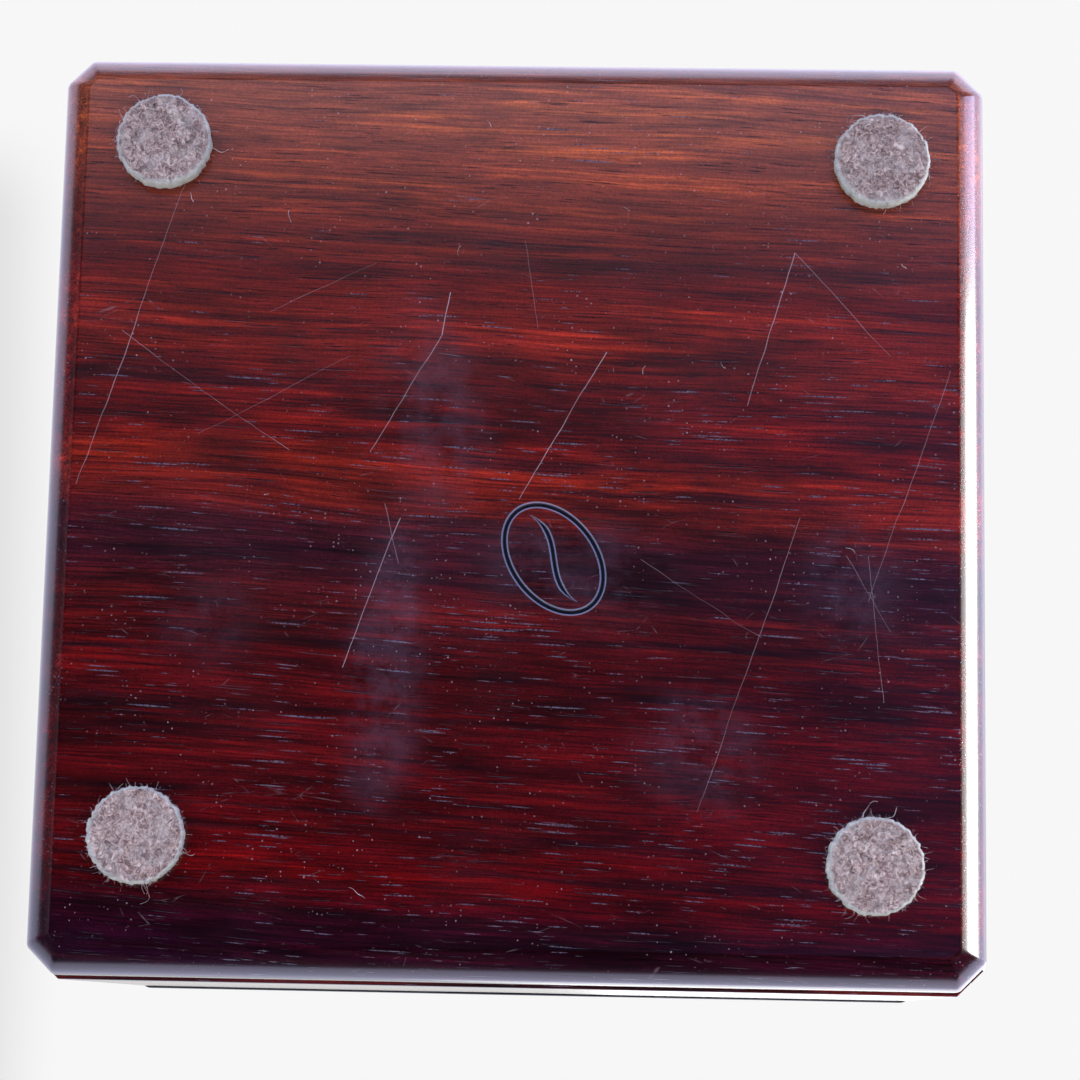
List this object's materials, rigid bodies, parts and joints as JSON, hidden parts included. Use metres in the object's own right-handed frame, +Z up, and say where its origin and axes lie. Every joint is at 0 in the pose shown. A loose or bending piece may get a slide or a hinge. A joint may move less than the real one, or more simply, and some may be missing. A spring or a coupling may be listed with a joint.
{
  "type": "knock box",
  "caption": "Square hardwood knock box on felt pads, with a lift-out bin and a lift-out knock bar that rests in steel saddles.",
  "frame": {"origin": "centre of the footprint, on the plane that the felt pads stand on", "axes": "+Z up, +X to the right seen from the front, +Y to the back; the knock bar lies along X"},
  "size_m": [0.1276, 0.1266, 0.0928],
  "materials": {
    "rosewood": "polished",
    "key_wood": "polished",
    "beech": "bare",
    "felt": "pressed felt",
    "mat_rubber": "matt",
    "sleeve_rubber": "satin",
    "bin_plastic": "fine spark texture",
    "steel": "brushed",
    "screw_steel": "turned",
    "black_steel": "black oxide",
    "nylon": "moulded"
  },
  "bodies": {
    "case": {"base_panel": "rosewood", "front_wall": "rosewood", "back_wall": "rosewood", "left_wall": "rosewood", "right_wall": "rosewood", "corner_keys_front_left": "key_wood", "corner_keys_front_right": "key_wood", "corner_keys_back_left": "key_wood", "corner_keys_back_right": "key_wood", "base_dowels": "beech", "felt_pad_back_right": "felt", "felt_pad_back_left": "felt", "felt_pad_front_right": "felt", "felt_pad_front_left": "felt", "damping_mat": "mat_rubber", "saddle_left": "steel", "saddle_right": "steel", "saddle_screws": "screw_steel"},
    "bin": {"bin": "bin_plastic"},
    "knock_bar": {"bar_rod": "steel", "collar_left": "steel", "collar_right": "steel", "collar_set_screws": "black_steel"},
    "sleeve": {"sleeve_core": "steel", "rubber_sleeve": "sleeve_rubber", "bush_left": "nylon", "bush_right": "nylon"}
  },
  "joints": [
    {"name": "bin_lift", "type": "slide", "parent": "case", "child": "bin", "axis": [0, 0, 1], "range_m": [0, 0.085]},
    {"name": "bar_lift", "type": "slide", "parent": "bin", "child": "knock_bar", "axis": [0, 0, 1], "range_m": [0, 0.045]},
    {"name": "sleeve_turn", "type": "hinge", "parent": "knock_bar", "child": "sleeve", "pos_m": [0, 0, 0.0754], "axis": [1, 0, 0], "continuous": true}
  ]
}
